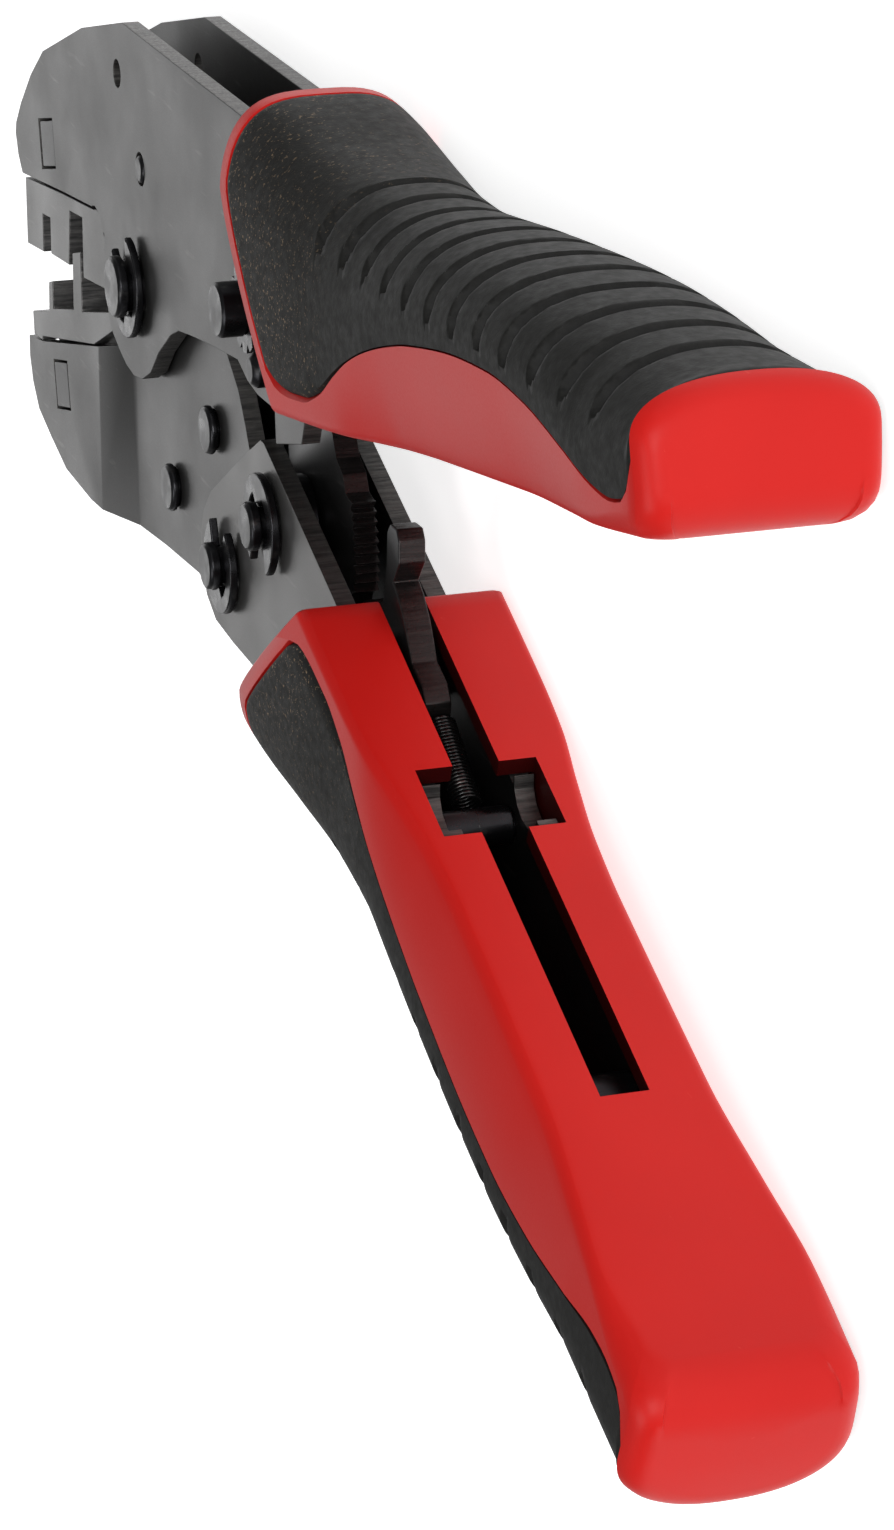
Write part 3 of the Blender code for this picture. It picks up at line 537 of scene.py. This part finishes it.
def shell_mesh(name, grip):
    """The red shell as one closed skin, sunk where the overlay lies."""
    middle = [i / MIDDLE_STEPS for i in range(MIDDLE_STEPS + 1)]
    end_stations = []
    for i in range(END_STEPS + 1):
        turn = math.radians(90 * i / END_STEPS)
        end_stations.append((("end", END_R * (1 - math.sin(turn))), END_R * (1 - math.cos(turn))))
    stations = [(("front", back), inset, False) for back, inset in FRONT_EDGE]
    stations += [(m, 0.0, True) for m in middle]
    stations += [(("end", BAND), 0.0, False)]
    stations += [(st, inset, False) for st, inset in end_stations if st[1] < BAND]
    rings = []
    for station, inset, sunk in stations:
        half = []
        inner = 0.0 if isinstance(station, tuple) and station[0] == "end" else 1.0
        for k in range(INNER_COUNT):
            s, d, z = place_station(lambda at: inner_point(at, k), station)
            half.append(shrunk(s, d, z, inset, inner))
        for k in range(OUTER_COUNT):
            s, d, z = place_station(lambda at: outer_point(at, k), station)
            half.append(shrunk(s, d, z, inset + (RECESS if sunk else 0.0), inner))
        rings.append(both_sides(grip, half, 1))
    middle_d = depth_at(GRIP_END) / 2
    for share in CAP_RINGS:
        cap = [(middle_d + (d - middle_d) * share, z * share) for s, d, z in half]
        cap = [(end_at(d) + CROWN * (1 - share ** 2), d, z) for d, z in cap]
        rings.append(both_sides(grip, cap, 1))
    return tube_of_rings(name, rings)


def groove_depth(s, d):
    """How far the back is sunk at a point of the overlay, by the twelve grip grooves."""
    angle = math.radians(GROOVE_ANGLE)
    lean = s * math.cos(angle) - d * math.sin(angle)
    i = round((lean - GROOVE_FIRST) / GROOVE_PITCH)
    if i < 0 or i >= GROOVES:
        return 0.0
    low = GROOVE_D[0] + (GROOVE_D[1] - GROOVE_D[0]) * i / (GROOVES - 1)
    across = abs(lean - GROOVE_FIRST - GROOVE_PITCH * i)
    past = max(0.0, low + GROOVE_HALF - d)
    away = math.hypot(across, past) / GROOVE_HALF
    if away >= 1.0:
        return 0.0
    share = min(1.0, (1 - away) / GROOVE_WALL)
    return GROOVE_DEEP * share * share * (3 - 2 * share)


def overlay_mesh(name, grip):
    """The soft overlay: a thick skin with rounded rims and sunk grooves."""
    lips = [(0.0, LIP_SINK), (LIP * LIP_MIDDLE[0], LIP_MIDDLE[1]), (LIP, 0.0)]
    clear = OVERLAY_CLEAR / OVERLAY_LENGTH
    middle = [i / OVERLAY_STEPS for i in range(OVERLAY_STEPS + 1)]
    stations = [(("front", RIM + SEAM + a), sink) for a, sink in lips]
    stations += [(m, 0.0) for m in middle if clear < m < 1 - clear]
    stations += [(("end", BAND + SEAM + a), sink) for a, sink in reversed(lips)]
    outer, under = [], []
    for station, sink in stations:
        half, low = [], []
        for k in range(OUTER_COUNT):
            s, d, z = place_station(lambda at: outer_point(at, k), station)
            edge = LIP_SINK if k == 0 else 0.0
            if k == 0:
                d += SEAM
            half.append(shrunk(s, d, z, max(sink, edge) + groove_depth(s, d)))
            low.append(shrunk(s, d, z, SKIN + SKIN_UNDER))
        outer.append(both_sides(grip, half, 0))
        under.append(both_sides(grip, low, 0))
    work = bmesh.new()
    top = [[work.verts.new(p) for p in ring] for ring in outer]
    bottom = [[work.verts.new(p) for p in ring] for ring in under]
    rows, count = len(top), len(top[0])
    for grid in (top, bottom):
        for a, b in zip(grid, grid[1:]):
            for i in range(count - 1):
                work.faces.new((a[i], a[i + 1], b[i + 1], b[i]))
    for r in range(rows - 1):
        for c in (0, count - 1):
            work.faces.new((top[r][c], top[r + 1][c], bottom[r + 1][c], bottom[r][c]))
    for c in range(count - 1):
        for r in (0, rows - 1):
            work.faces.new((top[r][c], top[r][c + 1], bottom[r][c + 1], bottom[r][c]))
    mesh = finished_mesh(name, work)
    dust = mesh.attributes.new("dust", "FLOAT", "POINT")
    # groove: how deep each point lies in a groove, as a share; the overlay material turns it into painted
    # shade.
    grooves = mesh.attributes.new("groove", "FLOAT", "POINT")
    origin, angle, side = grip
    for vert in mesh.vertices:
        place = (vert.co - ORIGIN) * 1000
        x, y = turned((place.x, place.y), -angle, origin)
        s = x - origin[0]
        d = side * (y - origin[1])
        from_front = s - front(d)
        dust.data[vert.index].value = max(0.0, 1 - from_front / DUST_REACH) ** DUST_POWER
        grooves.data[vert.index].value = groove_depth(s, d) / GROOVE_DEEP
    return mesh


def prism(name, grip, outline, half):
    """A cutter through a grip, whose outline is in the grip's own frame."""
    work = bmesh.new()
    low = [work.verts.new(grip_place(grip, s, d, -half)) for s, d in outline]
    high = [work.verts.new(grip_place(grip, s, d, half)) for s, d in outline]
    work.faces.new(low)
    work.faces.new(high)
    for i in range(len(outline)):
        j = (i + 1) % len(outline)
        work.faces.new((low[i], low[j], high[j], high[i]))
    mesh = finished_mesh(name, work)
    mesh.materials.append(MATERIALS["red"])
    mesh.materials.append(MATERIALS["inside"])
    # The cutters' faces become the cut walls, which get the near-black copy of the red plastic: painted shade
    # in the pocket, slot and window.
    for polygon in mesh.polygons:
        polygon.material_index = 1
    obj = bpy.data.objects.new(name, mesh)
    bpy.context.scene.collection.objects.link(obj)
    return obj


def make_grip(prefix, body, grip, slot_end, slot_half, window, end_depth):
    """A grip's red moulding, cut out for the tang, slot and window, and its soft skin."""
    grip_shape["end_depth"] = end_depth
    name = prefix + "_grip_moulding"
    shell = add_object(name, shell_mesh(name, grip), MATERIALS["red"])
    shell.data.materials.append(MATERIALS["inside"])
    cutters = [prism("pocket", grip, TANG_POCKET, POCKET_HALF),
               prism("slot", grip, ((-40, -3), (slot_end, -3), (slot_end, 8), (-40, 8)), slot_half)]
    if window:
        low, high, half = window
        cutters.append(prism("window", grip, ((low, -4), (high, -4), (high, 7), (low, 7)), half))
    for tool in cutters:
        cut = shell.modifiers.new(tool.name, "BOOLEAN")
        cut.operation = "DIFFERENCE"
        cut.object = tool
        cut.solver = "EXACT"
    bpy.context.view_layer.update()
    mesh = bpy.data.meshes.new_from_object(shell.evaluated_get(bpy.context.evaluated_depsgraph_get()))
    shell.modifiers.clear()
    shell.data = mesh
    for tool in cutters:
        bpy.data.objects.remove(tool, do_unlink=True)
    mesh.shade_smooth()
    mesh.set_sharp_from_angle(angle=math.radians(SHELL_CREASE))
    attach(shell, body)
    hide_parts(prefix + "_grip_shell")
    name = prefix + "_grip_skin"
    skin = add_object(name, overlay_mesh(name, grip), MATERIALS["overlay"], body,
                      (prefix + "_grip_overlay",))
    skin.data.shade_smooth()
    skin.data.set_sharp_from_angle(angle=math.radians(SKIN_CREASE))


make_grip("upper", "frame", UPPER_GRIP, slot_end=34.0, slot_half=2.55, window=None, end_depth=-1.0)
make_grip("lower", "handle", LOWER_GRIP, slot_end=67.0, slot_half=2.35, window=LOWER_WINDOW, end_depth=1.5)


# Pawl spring

SPRING_HOOK = (91.6, -19.4)
SPRING_ANCHOR = (104.8, -27.9)
COIL_R = 1.4
WIRE_R = 0.17
COIL_PITCH = 0.42
COIL_STEPS = 16
COIL_START = 3.0
COIL_END = 2.6
HOOK_STEPS = 12
HOOK_TURN = 210
HOOK_R = 1.1
HOOK_SHIFT = 0.2
HOOK_TALL = 1.6
ANCHOR_HOOK_R = 1.75


def spring_path():
    """The wire's centre line: a hook in the pawl's hole, close coils and a hook round the anchor pin."""
    a, b = Vector((*SPRING_HOOK, 0)), Vector((*SPRING_ANCHOR, 0))
    along = (b - a).normalized()
    across = Vector((-along.y, along.x, 0))
    up = Vector((0, 0, 1))
    start, end = COIL_START, (b - a).length - COIL_END
    points = []
    for i in range(HOOK_STEPS + 1):
        turn = math.radians(HOOK_TURN - HOOK_TURN * i / HOOK_STEPS)
        points.append(a + along * (HOOK_SHIFT + HOOK_R * math.cos(turn))
                      + up * HOOK_R * math.sin(turn) * HOOK_TALL)
    turns = (end - start) / COIL_PITCH
    steps = int(turns * COIL_STEPS)
    for i in range(steps + 1):
        turn = 2 * math.pi * i / COIL_STEPS
        points.append(a + along * (start + (end - start) * i / steps)
                      + across * COIL_R * math.sin(turn) + up * COIL_R * math.cos(turn))
    for i in range(HOOK_STEPS + 1):
        turn = math.radians(180 * i / HOOK_STEPS)
        points.append(b - along * (ANCHOR_HOOK_R * math.cos(turn)) + across * ANCHOR_HOOK_R * math.sin(turn))
    return points


def tube_mesh(name, path, radius, sides):
    curve = bpy.data.curves.new(name, "CURVE")
    curve.dimensions = "3D"
    curve.bevel_depth = radius / 1000
    curve.bevel_resolution = sides
    curve.use_fill_caps = True
    spline = curve.splines.new("POLY")
    spline.points.add(len(path) - 1)
    for point, place in zip(spline.points, path):
        point.co = (*mm(*place), 1)
    guide = bpy.data.objects.new(name, curve)
    bpy.context.scene.collection.objects.link(guide)
    bpy.context.view_layer.update()
    mesh = bpy.data.meshes.new_from_object(guide.evaluated_get(bpy.context.evaluated_depsgraph_get()))
    bpy.data.objects.remove(guide, do_unlink=True)
    return mesh


spring_mesh = tube_mesh("pawl_spring_coils", spring_path(), WIRE_R, 1)
spring_mesh.shade_smooth()
spring = add_object("pawl_spring_coils", spring_mesh, MATERIALS["spring"])
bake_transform(spring)
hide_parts("pawl_spring")


# Floor, lights and camera

FLOOR_HALF = 6.0
FLOOR_Z = -0.0004
FLOOR_GLOW = 0.72
WORLD_STRENGTH = 0.26
SENSOR = 36.0
FOCAL_RATIO = 5000 / 1530  # Focal length over the picture's longer side
CAMERA_PLACE = (531.3, 144.9, 142.9)
# Lights: place, target, size in metres and power in watts
LIGHTS = {
    "key": ((1.0, 0.30, 0.45), (0.05, 0, 0), (0.5, 0.5), 6.0),
    "top": ((0.3, 1.0, 0.30), (0, 0, 0), (0.8, 0.3), 0.7),
    "fill": ((0.5, -0.35, 1.0), (0.05, 0, 0), (0.7, 0.5), 5.0),
    "back": ((-1.2, -0.12, 0.30), (-0.05, 0, 0.02), (0.9, 0.28), 1.25),
}


def make_floor():
    m = Maker("pale_floor")
    tone = m.mix(m.noise(3, 2, 0.5), (0.90, 0.90, 0.90), (0.93, 0.93, 0.93))
    material = m.set(Base_Color=tone, Roughness=0.9, Emission_Color=(1.0, 1.0, 1.0),
                     Emission_Strength=FLOOR_GLOW)
    work = bmesh.new()
    bmesh.ops.create_grid(work, x_segments=1, y_segments=1, size=FLOOR_HALF)
    mesh = bpy.data.meshes.new("floor")
    work.to_mesh(mesh)
    work.free()
    floor = add_object("floor", mesh, material)
    floor.location.z = FLOOR_Z


def area_light(name, place, target, size, power):
    light = bpy.data.lights.new(name, "AREA")
    light.shape = "RECTANGLE"
    light.size, light.size_y = size
    light.energy = power
    obj = bpy.data.objects.new(name, light)
    bpy.context.scene.collection.objects.link(obj)
    obj.location = place
    obj.rotation_euler = (Vector(target) - Vector(place)).to_track_quat("-Z", "Y").to_euler()


def make_world():
    world = bpy.data.worlds.new("studio")
    bpy.context.scene.world = world
    world.use_nodes = True
    background = world.node_tree.nodes["Background"]
    background.inputs["Color"].default_value = (1.0, 1.0, 1.0, 1)
    background.inputs["Strength"].default_value = WORLD_STRENGTH


def make_camera():
    camera = bpy.data.objects.new("camera", bpy.data.cameras.new("camera"))
    bpy.context.scene.collection.objects.link(camera)
    camera.data.sensor_fit = "AUTO"
    camera.data.sensor_width = SENSOR
    camera.data.lens = FOCAL_RATIO * SENSOR
    camera.data.clip_start = 0.01
    right = Vector((0.31141, 0.00186, -0.95027))
    down = Vector((0.33014, -0.93792, 0.10636))
    ahead = Vector((-0.89108, -0.34685, -0.29267))
    turn = Matrix((right, -down, -ahead)).transposed().to_4x4()
    camera.matrix_world = Matrix.Translation(mm(*CAMERA_PLACE)) @ turn
    bpy.context.scene.camera = camera


make_floor()
make_world()
for name, settings in LIGHTS.items():
    area_light(name, *settings)
make_camera()
bpy.context.scene.view_settings.view_transform = "Standard"

bpy.context.view_layer.update()
